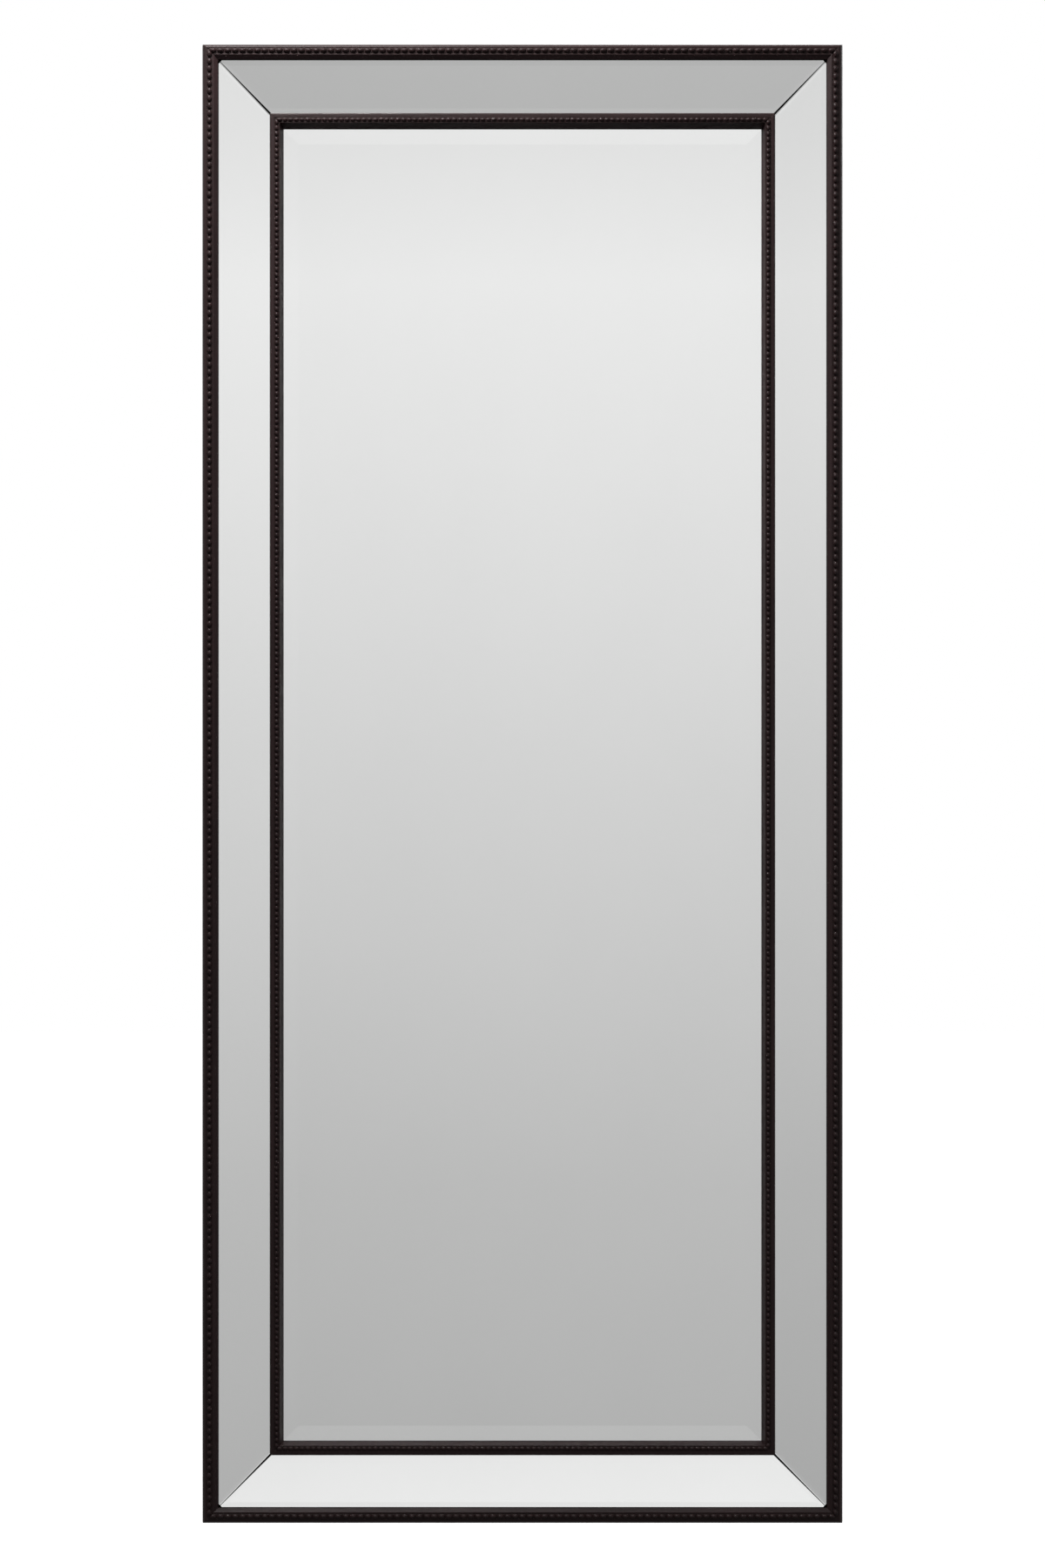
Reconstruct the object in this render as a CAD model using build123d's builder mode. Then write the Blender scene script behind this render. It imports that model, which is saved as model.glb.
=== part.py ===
from build123d import *
import math
import os

# Full-length wall mirror: a bevelled centre plate inside a dished border of four bevelled
# mirror strips, framed by an outer and an inner moulding that both carry a row of pearls.
# Millimetres, +Z up, the glass faces -Y, the wall is the plane Y = 0.
# The origin lies on the wall, midway between the hinge lines of the two hanging rings.

# Overall size
mirror_width = 780.0
mirror_height = 1800.0
hanger_drop = 300.0
bumper_height = 8.0

# Heights are measured forwards from the back of the frame, reaches inwards from its outer edge.
# Outer moulding
outer_face = 19.6
outer_shoulder_reach = 5.8
outer_shoulder_start = 23.0
outer_shoulder_radius = 3.6
outer_corner_radius = 3.0
outer_flat_height = 36.0
outer_flat_end = 14.8
outer_inner_edge_height = 32.4
outer_pearl_centre = 9.6
outer_pearl_width = 5.8
outer_pearl_height = 3.6
outer_pearl_pitch = 9.0
pearl_channel_depth = 0.6
pearl_channel_margin = 0.35
pearl_ridge_share = 0.4
panel_lip = 8.0

# Border strips of bevelled mirror glass
border_slope = 10.5
border_start = 20.5
border_end = 81.9
border_outer_height = 31.75
glass_thickness = 4.0
border_bevel_width = 6.0
border_bevel_angle = 2.0
mitre_bevel_width = 3.5
mitre_gap_outer = 0.5
mitre_gap_inner = 1.25
border_tip_flat = 3.0
border_tip_run = 1.5
border_tip_depth = 1.8

# Inner moulding
inner_rail_start = 82.1
inner_rail_edge_height = 21.6
inner_rail_flat_height = 22.9
inner_rail_flat_start = 83.6
inner_rail_flat_end = 93.9
inner_rail_sight = 97.7
inner_rail_lip_height = 9.1
inner_rail_lip_edge = 0.7
inner_pearl_centre = 90.3
inner_pearl_width = 4.8
inner_pearl_height = 2.9
inner_pearl_pitch = 6.9

# Carcass
panel_thickness = 5.0
panel_clearance = 0.3
carrier_inner_edge = 90.5
foam_thickness = 1.0
foam_width = 25.0
foam_length = 1500.0
foam_count = 4

# Centre plate
plate_edge = 92.0
plate_bevel_width = 24.0
plate_bevel_angle = 3.0
setting_block_length = 60.0
setting_block_spacing = 320.0
setting_block_depth = 2.4

# Nails across the mitres
nail_leg = 5.0
nail_thickness = 0.8
outer_nail_reach = 14.0
carrier_nail_reaches = (40.0, 72.0)
nail_length = 11.0

# Wood screws and ring wire, drawn eight-sided; panel screws go into the carriers
round_sides = 8
screw_shank_radius = 1.75
screw_head_radius = 3.6
screw_length = 16.0
screw_reach = 50.0
side_screw_count = 5
side_screw_spacing = 380.0
end_screw_spacing = 380.0
hole_clearance = 0.25

# Ring hangers
hanger_reach = 50.0
strap_width = 16.0
strap_sheet = 1.2
strap_length = 58.0
strap_corner_radius = 4.8
strap_screw_drops = (27.0, 47.0)
ring_wire_radius = 1.8
ring_fit = 0.05
ring_side_gap = 0.7
ring_leg = 5.0
ring_corner_radius = 2.6
ring_corner_chords = 3
ring_bow_chords = 11
ring_rest_tilt = 8.0
pan_head_radius = 3.8
pan_head_height = 2.0
pan_head_top_radius = 2.85

# Rubber bumpers, drawn sixteen-sided
bumper_radius = 11.0
bumper_top_radius = 9.5
bumper_reach = 40.0
bumper_sides = 16

# Frame positions worked out from the sizes above
half_width = mirror_width / 2
half_height = mirror_height / 2
centre_z = hanger_drop - half_height
back_y = -bumper_height
slope_fall = math.tan(math.radians(border_slope))
border_glass_drop = glass_thickness / math.cos(math.radians(border_slope))
front = Vector(0, -1, 0)

# Each side of the frame: its name, the direction from its outer edge to the middle, how far the
# outer edge stands from the middle, and half the length of that edge.
sides = {
    "top": (Vector(0, 0, -1), half_height, half_width),
    "bottom": (Vector(0, 0, 1), half_height, half_width),
    "left": (Vector(1, 0, 0), half_width, half_height),
    "right": (Vector(-1, 0, 0), half_width, half_height),
}


def border_top_height(reach):
    """Height of the border glass's front surface at a reach from the outer edge."""
    return border_outer_height - (reach - border_start) * slope_fall


def section_plane(side):
    """Plane across one side of the frame: X is the reach inwards, Y the height forwards."""
    inward, distance, _ = sides[side]
    origin = Vector(0, back_y, centre_z) - inward * distance
    return Plane(origin=origin, x_dir=inward, z_dir=inward.cross(front))


def mitre_planes(side):
    """The two 45 degree planes that end a side, both facing the side's middle."""
    inward, distance, half_length = sides[side]
    along = inward.cross(front)
    middle = Vector(0, back_y, centre_z) - inward * distance
    return [
        Plane(origin=middle + along * (half_length * end), z_dir=inward * -1 - along * end)
        for end in (-1, 1)
    ]


def cut_mitres(side):
    """Saw both ends of the part in the current block to the mitre."""
    for plane in mitre_planes(side):
        split(bisect_by=plane, keep=Keep.TOP)


def finish(piece, label):
    """Name a finished piece and write it out."""
    piece.label = label
    export_step(piece, "parts/" + label + ".step")


def outer_rail(side):
    """Moulded outer rail: rebated behind for the panel, rounded outside, channelled for pearls.

    Its mitred ends are eased so that the frame's outer corners are slightly rounded.
    """
    channel = outer_pearl_width / 2 + pearl_channel_margin
    rise = outer_flat_height - outer_shoulder_start
    low_radius = (outer_shoulder_reach**2 + rise**2 - 2 * rise * outer_shoulder_radius) / (
        2 * (outer_shoulder_reach - outer_shoulder_radius)
    )
    low_turn = math.degrees(
        math.atan2(rise - outer_shoulder_radius, low_radius - outer_shoulder_reach)
    )
    with BuildPart() as rail:
        with BuildSketch(section_plane(side)):
            with BuildLine():
                Polyline(
                    (0, outer_shoulder_start),
                    (0, 0),
                    (panel_lip, 0),
                    (panel_lip, panel_thickness),
                    (outer_face, panel_thickness),
                    (outer_face, outer_inner_edge_height),
                    (outer_flat_end, outer_flat_height),
                    (outer_shoulder_reach, outer_flat_height),
                )
                crown = JernArc(
                    (outer_shoulder_reach, outer_flat_height),
                    (-1, 0),
                    outer_shoulder_radius,
                    90 - low_turn,
                )
                JernArc(crown @ 1, crown % 1, low_radius, low_turn)
            make_face()
            with Locations((outer_pearl_centre, outer_flat_height)):
                Rectangle(2 * channel, 2 * pearl_channel_depth, mode=Mode.SUBTRACT)
        extrude(amount=sides[side][2], both=True)
        cut_mitres(side)
        with BuildSketch(Plane.XZ.offset(-back_y)):
            with Locations((0, centre_z)):
                RectangleRounded(mirror_width, mirror_height, outer_corner_radius)
        extrude(amount=outer_flat_height, mode=Mode.INTERSECT)
    return rail.part


def carrier_seat_height():
    """Height of the carrier's flat seat, where the border glass's underside runs out."""
    return border_top_height(inner_rail_start) - border_glass_drop


def inner_rail(side):
    """Moulded inner rail: its foot lies on the carrier and its leg laps the centre plate."""
    channel = inner_pearl_width / 2 + pearl_channel_margin
    seat = carrier_seat_height()
    with BuildPart() as rail:
        with BuildSketch(section_plane(side)):
            with BuildLine():
                Polyline(
                    (inner_rail_start, seat),
                    (carrier_inner_edge, seat),
                    (carrier_inner_edge, inner_rail_lip_height),
                    (inner_rail_sight, inner_rail_lip_height),
                    (inner_rail_sight, inner_rail_lip_height + inner_rail_lip_edge),
                    (inner_rail_flat_end, inner_rail_flat_height),
                    (inner_rail_flat_start, inner_rail_flat_height),
                    (inner_rail_start, inner_rail_edge_height),
                    close=True,
                )
            make_face()
            with Locations((inner_pearl_centre, inner_rail_flat_height)):
                Rectangle(2 * channel, 2 * pearl_channel_depth, mode=Mode.SUBTRACT)
        extrude(amount=sides[side][2], both=True)
        cut_mitres(side)
    return rail.part


def carrier(side):
    """Wedge-planed carrier: it holds the border glass at its slope and seats the inner rail."""
    seat = carrier_seat_height()
    with BuildPart() as rail:
        with BuildSketch(section_plane(side)):
            with BuildLine():
                Polyline(
                    (outer_face, panel_thickness),
                    (carrier_inner_edge, panel_thickness),
                    (carrier_inner_edge, seat),
                    (inner_rail_start, seat),
                    (outer_face, border_top_height(outer_face) - border_glass_drop),
                    close=True,
                )
            make_face()
        extrude(amount=sides[side][2], both=True)
        cut_mitres(side)
    return rail.part


def pearl_strip(side, centre, seat, width, height, pitch):
    """Row of hipped pearls on a thin web: a mitred ridge bar, notched down to the web."""
    section = section_plane(side)
    row = sides[side][2] - centre
    count = round(2 * row / pitch)
    step = 2 * row / count
    ridge_length = step * pearl_ridge_share
    outline = [(row + step, 0), (-row - step, 0)]
    for i in range(-1, count + 1):
        middle = -row + (i + 0.5) * step
        outline.append((middle - step / 2, pearl_channel_depth))
        outline.append((middle - ridge_length / 2, height))
        outline.append((middle + ridge_length / 2, height))
    outline.append((row + step, pearl_channel_depth))
    flank = section.from_local_coords((centre - width / 2, seat, 0))
    flank_plane = Plane(origin=flank, x_dir=section.z_dir, z_dir=section.z_dir.cross(front))
    across = width if flank_plane.z_dir.dot(section.x_dir) > 0 else -width
    with BuildPart() as strip:
        with BuildSketch(section):
            with BuildLine():
                Polyline(
                    (centre - width / 2, seat),
                    (centre + width / 2, seat),
                    (centre, seat + height),
                    close=True,
                )
            make_face()
        extrude(amount=sides[side][2], both=True)
        cut_mitres(side)
        with BuildSketch(flank_plane):
            with BuildLine():
                Polyline(*outline, close=True)
            make_face()
        extrude(amount=across, mode=Mode.INTERSECT)
    return strip.part


def border_mirror(side):
    """Trapezoid of mirror glass, ground to a narrow bevel on all four edges."""
    section = section_plane(side)
    half_length = sides[side][2]
    glass_plane = Plane(
        origin=section.from_local_coords((border_start, border_outer_height, 0)),
        x_dir=section.z_dir,
        z_dir=section.x_dir * math.sin(math.radians(border_slope))
        + section.y_dir * math.cos(math.radians(border_slope)),
    )
    inwards = 1 if glass_plane.y_dir.dot(section.x_dir) > 0 else -1
    length = (border_end - border_start) / math.cos(math.radians(border_slope))
    outer_half = half_length - border_start - mitre_gap_outer * math.sqrt(2)
    inner_half = half_length - border_end - mitre_gap_inner * math.sqrt(2)
    end_angle = math.atan2(outer_half - inner_half, length)
    tilt = math.radians(border_bevel_angle)
    with BuildPart() as glass:
        with BuildSketch(glass_plane):
            Polygon(
                (-outer_half + border_tip_flat, 0),
                (outer_half - border_tip_flat, 0),
                (outer_half - border_tip_run, inwards * border_tip_depth),
                (inner_half, inwards * length),
                (-inner_half, inwards * length),
                (-outer_half + border_tip_run, inwards * border_tip_depth),
                align=None,
            )
        extrude(amount=-glass_thickness)
        for edge, outward, bevel in (
            ((0, 0), (0, -inwards), border_bevel_width),
            ((0, inwards * length), (0, inwards), border_bevel_width),
            (
                (outer_half, 0),
                (math.cos(end_angle), inwards * math.sin(end_angle)),
                mitre_bevel_width,
            ),
            (
                (-outer_half, 0),
                (-math.cos(end_angle), inwards * math.sin(end_angle)),
                mitre_bevel_width,
            ),
        ):
            arris = (edge[0] - outward[0] * bevel, edge[1] - outward[1] * bevel, 0)
            normal = (
                glass_plane.x_dir * outward[0] + glass_plane.y_dir * outward[1]
            ) * math.sin(tilt) + glass_plane.z_dir * math.cos(tilt)
            bevel_plane = Plane(origin=glass_plane.from_local_coords(arris), z_dir=normal)
            split(bisect_by=bevel_plane, keep=Keep.BOTTOM)
    return glass.part


os.makedirs("parts", exist_ok=True)

# Outer moulding and its pearls
for side in sides:
    finish(outer_rail(side), "outer_rail_" + side)
    pearls = pearl_strip(
        side,
        outer_pearl_centre,
        outer_flat_height - pearl_channel_depth,
        outer_pearl_width,
        outer_pearl_height,
        outer_pearl_pitch,
    )
    finish(pearls, "outer_beading_" + side)

# Carriers behind the border, and the border glass on them
for side in sides:
    finish(carrier(side), "carrier_" + side)
    finish(border_mirror(side), "border_mirror_" + side)

# Inner moulding and its pearls
for side in sides:
    finish(inner_rail(side), "inner_rail_" + side)
    pearls = pearl_strip(
        side,
        inner_pearl_centre,
        inner_rail_flat_height - pearl_channel_depth,
        inner_pearl_width,
        inner_pearl_height,
        inner_pearl_pitch,
    )
    finish(pearls, "inner_beading_" + side)

# Centre plate: one sheet with a wide bevel ground on its four edges
plate_half_width = half_width - plate_edge
plate_half_height = half_height - plate_edge
plate_back = panel_thickness + foam_thickness
plate_front_y = back_y - plate_back - glass_thickness
with BuildPart() as centre_mirror:
    with BuildSketch(Plane.XZ.offset(-plate_front_y)):
        with Locations((0, centre_z)):
            Rectangle(2 * plate_half_width, 2 * plate_half_height)
    extrude(amount=-glass_thickness)
    tilt = math.radians(plate_bevel_angle)
    for outward, half in (
        (Vector(1, 0, 0), plate_half_width),
        (Vector(-1, 0, 0), plate_half_width),
        (Vector(0, 0, 1), plate_half_height),
        (Vector(0, 0, -1), plate_half_height),
    ):
        arris = Vector(0, plate_front_y, centre_z) + outward * (half - plate_bevel_width)
        normal = outward * math.sin(tilt) + front * math.cos(tilt)
        split(bisect_by=Plane(origin=arris, z_dir=normal), keep=Keep.BOTTOM)
finish(centre_mirror.part, "centre_mirror")

# Foam tapes that cushion the plate against the panel
with BuildPart() as foam_tapes:
    with BuildSketch(Plane.XZ.offset(-back_y + panel_thickness)):
        with Locations((0, centre_z)):
            with GridLocations(2 * plate_half_width / foam_count, 0, foam_count, 1):
                Rectangle(foam_width, foam_length)
    extrude(amount=foam_thickness)
finish(foam_tapes.part, "foam_tapes")

# Setting blocks that carry the plate's lower edge
block_height = plate_edge - carrier_inner_edge
block_z = centre_z - half_height + carrier_inner_edge + block_height / 2
with BuildPart() as setting_blocks:
    with BuildSketch(Plane.XZ.offset(-back_y + plate_back)):
        with Locations((0, block_z)):
            with GridLocations(setting_block_spacing, 0, 2, 1):
                Rectangle(setting_block_length, block_height)
    extrude(amount=setting_block_depth)
finish(setting_blocks.part, "setting_blocks")

# Positions of the panel screws, hangers and bumpers on the back, as X and Z
side_x = half_width - screw_reach
panel_screw_places = [
    (x, centre_z + side_screw_spacing * (i - (side_screw_count - 1) / 2))
    for x in (-side_x, side_x)
    for i in range(side_screw_count)
] + [
    (x, centre_z + z)
    for x in (-end_screw_spacing / 2, end_screw_spacing / 2)
    for z in (-half_height + screw_reach, half_height - screw_reach)
]
hanger_places = {"left": -(half_width - hanger_reach), "right": half_width - hanger_reach}
hanger_screw_places = [(x, -drop) for x in hanger_places.values() for drop in strap_screw_drops]
bumper_places = [
    (x, centre_z + z)
    for x in (-(half_width - bumper_reach), half_width - bumper_reach)
    for z in (-(half_height - bumper_reach), half_height - bumper_reach)
]


def driven(places, head_y):
    """Locations on the back for pieces whose own Z axis points at the wall."""
    return [Location((x, head_y, z), (-90, 0, 0)) for x, z in places]


def countersunk_screw(clearance=0.0):
    """Countersunk wood screw along Z, head end at Z = 0; with a clearance, the hole for it."""
    head_depth = screw_head_radius - screw_shank_radius
    with BuildPart() as shape:
        with BuildSketch(Plane.XY):
            RegularPolygon(screw_head_radius + clearance, round_sides)
        with BuildSketch(Plane.XY.offset(-head_depth)):
            RegularPolygon(screw_shank_radius + clearance, round_sides)
        loft()
        with BuildSketch(Plane.XY.offset(-head_depth)):
            RegularPolygon(screw_shank_radius + clearance, round_sides)
        extrude(amount=head_depth - screw_length)
    return shape.part


def pan_screw():
    """Pan-headed wood screw along Z: the head stands up from Z = 0."""
    with BuildPart() as shape:
        with BuildSketch(Plane.XY):
            RegularPolygon(pan_head_radius, round_sides)
        with BuildSketch(Plane.XY.offset(pan_head_height)):
            RegularPolygon(pan_head_top_radius, round_sides)
        loft()
        with BuildSketch(Plane.XY):
            RegularPolygon(screw_shank_radius, round_sides)
        extrude(amount=-screw_length)
    return shape.part


# Back panel, countersunk for its screws
back_plane = Plane.XZ.offset(-back_y)
panel_half_width = half_width - panel_lip - panel_clearance
panel_half_height = half_height - panel_lip - panel_clearance
panel_hole = countersunk_screw(hole_clearance)
with BuildPart() as back_panel:
    with BuildSketch(back_plane):
        with Locations((0, centre_z)):
            Rectangle(2 * panel_half_width, 2 * panel_half_height)
    extrude(amount=panel_thickness)
    with Locations(driven(panel_screw_places, back_y)):
        add(panel_hole, mode=Mode.SUBTRACT)
finish(back_panel.part, "back_panel")

one_panel_screw = countersunk_screw()
with BuildPart() as panel_screws:
    with Locations(driven(panel_screw_places, back_y)):
        add(one_panel_screw)
finish(panel_screws.part, "panel_screws")

one_hanger_screw = pan_screw()
with BuildPart() as hanger_screws:
    with Locations(driven(hanger_screw_places, back_y + 2 * strap_sheet)):
        add(one_hanger_screw)
finish(hanger_screws.part, "hanger_screws")

# Rubber bumpers stuck to the panel, tapering towards the wall
bumper_taper = math.degrees(math.atan2(bumper_radius - bumper_top_radius, bumper_height))
with BuildPart() as wall_bumpers:
    with BuildSketch(back_plane):
        with Locations(bumper_places):
            RegularPolygon(bumper_radius, bumper_sides)
    extrude(amount=-bumper_height, taper=bumper_taper)
finish(wall_bumpers.part, "wall_bumpers")

# V-shaped nails pressed across the mitres from behind, under the panel
corners = [(x, z) for x in (-1, 1) for z in (-1, 1)]
with BuildPart() as mitre_nails:
    with BuildSketch(back_plane.offset(panel_thickness)):
        for sx, sz in corners:
            for reach in (outer_nail_reach, *carrier_nail_reaches):
                apex = (sx * (half_width - reach), centre_z + sz * (half_height - reach))
                with BuildLine():
                    Polyline(
                        (apex[0] - sx * nail_leg, apex[1]),
                        apex,
                        (apex[0], apex[1] - sz * nail_leg),
                        (apex[0] - sx * nail_thickness, apex[1] - sz * nail_leg),
                        (apex[0] - sx * nail_thickness, apex[1] - sz * nail_thickness),
                        (apex[0] - sx * nail_leg, apex[1] - sz * nail_thickness),
                        close=True,
                    )
                make_face()
    extrude(amount=nail_length)
finish(mitre_nails.part, "mitre_nails")

def half_ring():
    """Half of the ring's centre line, from the middle of its pin to the middle of its bow."""
    corner_step = math.radians(90 / ring_corner_chords)
    bow_step = math.radians(180 / ring_bow_chords)
    corner = [
        (
            ring_pin_half + ring_corner_radius * math.sin(i * corner_step),
            ring_corner_radius * (1 - math.cos(i * corner_step)),
        )
        for i in range(ring_corner_chords + 1)
    ]
    bow = [
        (
            ring_half_width * math.cos(i * bow_step),
            ring_leg + ring_half_width * math.sin(i * bow_step),
        )
        for i in range(ring_bow_chords // 2 + 1)
    ]
    return [(0, 0), *corner, *bow, (0, bow[-1][1])]


# Ring hangers: a folded strap with a rolled eye, and a wire ring that swings in the eye
eye_bore = ring_wire_radius + ring_fit
eye_radius = eye_bore + strap_sheet
ring_half_width = strap_width / 2 + ring_side_gap + ring_wire_radius
ring_pin_half = ring_half_width - ring_corner_radius
tilt = math.radians(ring_rest_tilt)
for side, hanger_x in hanger_places.items():
    with BuildPart() as strap:
        with BuildSketch(Plane(origin=(hanger_x, back_y, 0), x_dir=(0, 1, 0), z_dir=(1, 0, 0))):
            with Locations((strap_sheet, -strap_length / 2)):
                Rectangle(2 * strap_sheet, strap_length)
            with Locations((eye_radius, 0)):
                Circle(eye_radius)
                Circle(eye_bore, mode=Mode.SUBTRACT)
        extrude(amount=strap_width / 2, both=True)
        lower_corners = strap.edges().filter_by(Axis.Y).group_by(Axis.Z)[0]
        fillet(lower_corners, radius=strap_corner_radius)
        with BuildSketch(back_plane):
            with Locations([(hanger_x, -drop) for drop in strap_screw_drops]):
                RegularPolygon(screw_shank_radius + hole_clearance, round_sides)
        extrude(amount=-2 * strap_sheet, mode=Mode.SUBTRACT)
    finish(strap.part, "hanger_strap_" + side)

    ring_plane = Plane(
        origin=(hanger_x, back_y + eye_radius, 0),
        x_dir=(1, 0, 0),
        z_dir=(0, math.cos(tilt), math.sin(tilt)),
    )
    with BuildPart() as ring:
        with BuildLine(ring_plane):
            Polyline(*half_ring())
        with BuildSketch(Plane(origin=ring_plane.origin, z_dir=ring_plane.x_dir)):
            RegularPolygon(ring_wire_radius, round_sides)
        sweep(transition=Transition.RIGHT)
        mirror(about=Plane(origin=ring_plane.origin, z_dir=ring_plane.x_dir))
    finish(ring.part, "hanger_ring_" + side)
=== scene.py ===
import math
import bmesh
import bpy
from mathutils import Matrix, Vector


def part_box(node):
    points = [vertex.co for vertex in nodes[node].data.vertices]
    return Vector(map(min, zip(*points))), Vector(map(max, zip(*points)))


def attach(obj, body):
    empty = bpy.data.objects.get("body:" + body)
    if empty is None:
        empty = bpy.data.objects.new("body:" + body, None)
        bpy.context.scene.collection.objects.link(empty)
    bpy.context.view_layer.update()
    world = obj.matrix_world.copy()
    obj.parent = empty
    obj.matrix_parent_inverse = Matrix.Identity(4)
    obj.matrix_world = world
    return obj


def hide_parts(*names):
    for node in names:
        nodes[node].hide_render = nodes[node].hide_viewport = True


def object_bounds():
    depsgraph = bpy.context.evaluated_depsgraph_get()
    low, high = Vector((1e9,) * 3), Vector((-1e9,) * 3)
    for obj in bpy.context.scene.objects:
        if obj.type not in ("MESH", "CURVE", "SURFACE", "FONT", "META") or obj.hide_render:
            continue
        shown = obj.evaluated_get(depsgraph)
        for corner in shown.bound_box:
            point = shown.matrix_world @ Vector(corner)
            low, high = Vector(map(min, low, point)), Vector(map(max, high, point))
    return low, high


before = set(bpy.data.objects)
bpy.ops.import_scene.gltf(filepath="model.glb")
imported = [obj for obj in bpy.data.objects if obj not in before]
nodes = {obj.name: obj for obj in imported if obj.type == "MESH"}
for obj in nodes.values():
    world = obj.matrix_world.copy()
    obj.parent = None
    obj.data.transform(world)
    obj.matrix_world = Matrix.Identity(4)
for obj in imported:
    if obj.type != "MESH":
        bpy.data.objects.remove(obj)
cad_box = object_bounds()

# Camera: it stands 4 m in front of the frame's face, a little below its middle, and looks square
# at it. The lens shift keeps the uprights parallel, as the photograph has them.
EYE_DISTANCE = 4.0
EYE_BELOW_MIDDLE = 0.24
PICTURE_HEIGHT = 1.903
PICTURE_ROWS = 1800
MIDDLE_ROW = 899.2
SENSOR = 36.0
middle_z = (cad_box[0][2] + cad_box[1][2]) / 2
picture_middle = middle_z - (PICTURE_ROWS / 2 - MIDDLE_ROW) * PICTURE_HEIGHT / PICTURE_ROWS
eye = Vector((0, cad_box[0][1] - EYE_DISTANCE, middle_z - EYE_BELOW_MIDDLE))
camera_data = bpy.data.cameras.new("camera")
camera_data.sensor_fit = "VERTICAL"
camera_data.sensor_height = SENSOR
camera_data.lens = SENSOR * EYE_DISTANCE / PICTURE_HEIGHT
camera_data.shift_y = (picture_middle - eye.z) / PICTURE_HEIGHT
camera = bpy.data.objects.new("camera", camera_data)
camera.location = eye
camera.rotation_euler = (math.radians(90), 0, 0)
bpy.context.scene.collection.objects.link(camera)
bpy.context.scene.camera = camera
bpy.context.scene.view_settings.view_transform = "Standard"

# Studio room: plain white behind the mirror. In front of it the room brightens with height, and
# that is what the plate and its border reflect. Each stop: an elevation in degrees, a brightness.
ROOM_STOPS = (
    (-30.0, 0.28), (-14.0, 0.40), (-8.0, 0.468), (-3.5, 0.528), (0.0, 0.605), (4.0, 0.695),
    (9.0, 0.815), (12.0, 0.875), (14.5, 0.80), (20.0, 0.74), (45.0, 0.80),
)
ROOM_LEFT_FALL = 0.30
ROOM_FILL = 0.34
WHITE = (1.0, 1.0, 1.0)


def spread(tree, value, low, high, to_low=0.0, to_high=1.0):
    """A value stretched from low..high to another range, and clamped there."""
    node = tree.nodes.new("ShaderNodeMapRange")
    node.inputs["From Min"].default_value = low
    node.inputs["From Max"].default_value = high
    node.inputs["To Min"].default_value = to_low
    node.inputs["To Max"].default_value = to_high
    tree.links.new(value, node.inputs["Value"])
    return node.outputs["Result"]


def mixed(tree, factor, a, b):
    """A colour between a and b; either may be a socket or a plain colour."""
    node = tree.nodes.new("ShaderNodeMix")
    node.data_type = "RGBA"
    for socket, colour in ((node.inputs["A"], a), (node.inputs["B"], b)):
        if isinstance(colour, tuple):
            socket.default_value = (*colour, 1)
        else:
            tree.links.new(colour, socket)
    tree.links.new(factor, node.inputs["Factor"])
    return node.outputs["Result"]


world = bpy.data.worlds.new("studio")
bpy.context.scene.world = world
world.use_nodes = True
tree = world.node_tree
background = tree.nodes["Background"]
direction = tree.nodes.new("ShaderNodeSeparateXYZ")
tree.links.new(tree.nodes.new("ShaderNodeTexCoord").outputs["Generated"], direction.inputs[0])
heights = [math.sin(math.radians(elevation)) for elevation, brightness in ROOM_STOPS]
ramp = tree.nodes.new("ShaderNodeValToRGB")
stops = ramp.color_ramp.elements
stops[1].position = 1.0
for _ in ROOM_STOPS[2:]:
    stops.new(0.5)
for stop, height, (elevation, brightness) in zip(stops, heights, ROOM_STOPS):
    stop.position = (height - heights[0]) / (heights[-1] - heights[0])
    stop.color = (brightness, brightness, brightness, 1)
tree.links.new(spread(tree, direction.outputs["Z"], heights[0], heights[-1]), ramp.inputs["Fac"])
room = tree.nodes.new("ShaderNodeVectorMath")
room.operation = "SCALE"
tree.links.new(ramp.outputs["Color"], room.inputs[0])
leftwards = spread(tree, direction.outputs["X"], -1.0, 0.0, 1.0 - ROOM_LEFT_FALL, 1.0)
tree.links.new(leftwards, room.inputs["Scale"])
ray = tree.nodes.new("ShaderNodeLightPath")
seen = mixed(tree, ray.outputs["Is Camera Ray"], room.outputs[0], WHITE)
tree.links.new(seen, background.inputs["Color"])
dimmed = spread(tree, ray.outputs["Is Diffuse Ray"], 0.0, 1.0, 1.0, ROOM_FILL)
tree.links.new(dimmed, background.inputs["Strength"])

# Soft boxes: one close above the top rail, one far to the right and one behind, all outside what
# the glass reflects to the camera. Each one: its place, its size in metres, its power in watts.
SOFT_BOXES = {
    "key": ((-0.5, -0.65, 1.15), 0.6, 41),
    "fill": ((3.4, -2.4, 1.4), 2.0, 4),
    "back": ((1.2, 3.0, 1.8), 2.2, 60),
}
for box_name, (place, size, power) in SOFT_BOXES.items():
    lamp = bpy.data.lights.new(box_name, "AREA")
    lamp.size = size
    lamp.energy = power
    soft_box = bpy.data.objects.new(box_name, lamp)
    soft_box.location = place
    aim = Vector((0, 0, middle_z)) - Vector(place)
    soft_box.rotation_euler = aim.to_track_quat("-Z", "Y").to_euler()
    bpy.context.scene.collection.objects.link(soft_box)

# Floor: plain, pale and wide. It lies below the hanging mirror, isn't part of it, and stays out
# of the reflections, which the room above gives.
FLOOR_GAP = 0.35
FLOOR_HALF = 60.0
FLOOR_GLOW = 0.8


def new_object(name, mesh):
    """An object at the origin for a mesh that is already in place."""
    piece = bpy.data.objects.new(name, mesh)
    bpy.context.scene.collection.objects.link(piece)
    return piece


def new_material(name):
    """A material with its node tree and its Principled shader."""
    material = bpy.data.materials.new(name)
    material.use_nodes = True
    return material, material.node_tree, material.node_tree.nodes["Principled BSDF"]


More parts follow.
